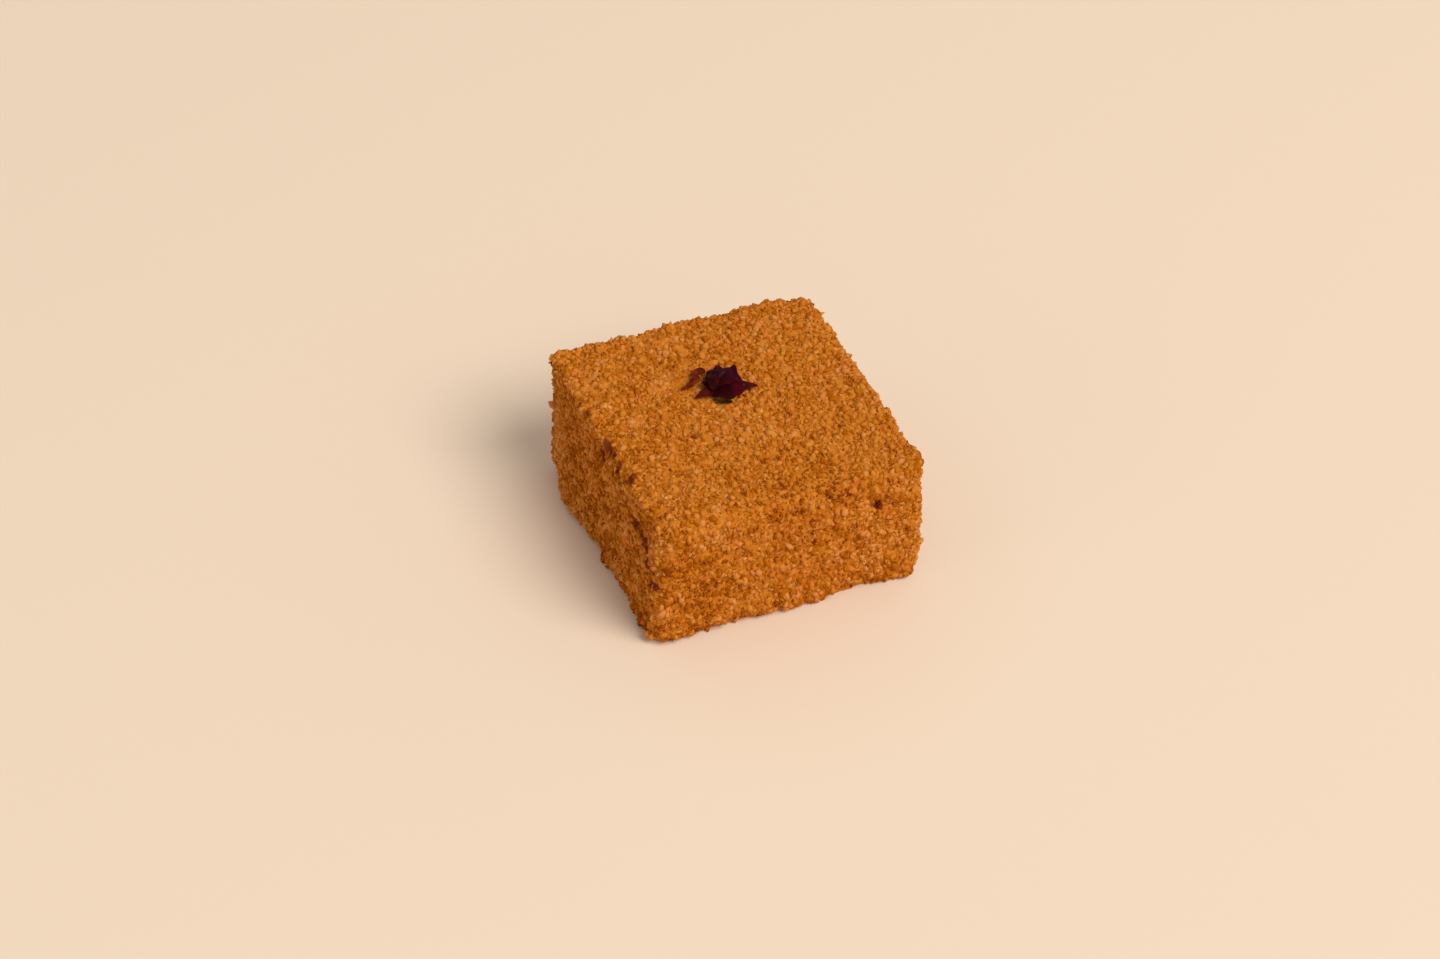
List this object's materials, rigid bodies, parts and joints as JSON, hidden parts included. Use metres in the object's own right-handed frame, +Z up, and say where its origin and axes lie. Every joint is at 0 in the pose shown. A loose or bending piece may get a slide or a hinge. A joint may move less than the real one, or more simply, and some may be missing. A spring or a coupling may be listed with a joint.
{
  "type": "honey cake",
  "caption": "Small square layered honey cake, whole and uncut, in a coat of fine cake crumbs, with a dried flower petal and shreds of it on top.",
  "frame": {"origin": "middle of the cake's outline in plan, at its flat base", "axes": "+Z up, +X and +Y along the square's sides; the petal lies on top, nearer the +Y side, and the picture looks from -Y and a little from -X"},
  "size_m": [0.074, 0.0714, 0.0414],
  "materials": {
    "crumb_coat": "matt golden brown cake crumbs",
    "petal": "dark burgundy dried petal, dull with a faint sheen",
    "petal_shred": "red brown dried petal shreds, dull"
  },
  "bodies": {
    "root": {"cake": "crumb_coat", "petal": "petal", "petal_fold": "petal", "petal_shred_upper": "petal_shred", "petal_shred_front": "petal_shred"}
  },
  "joints": []
}
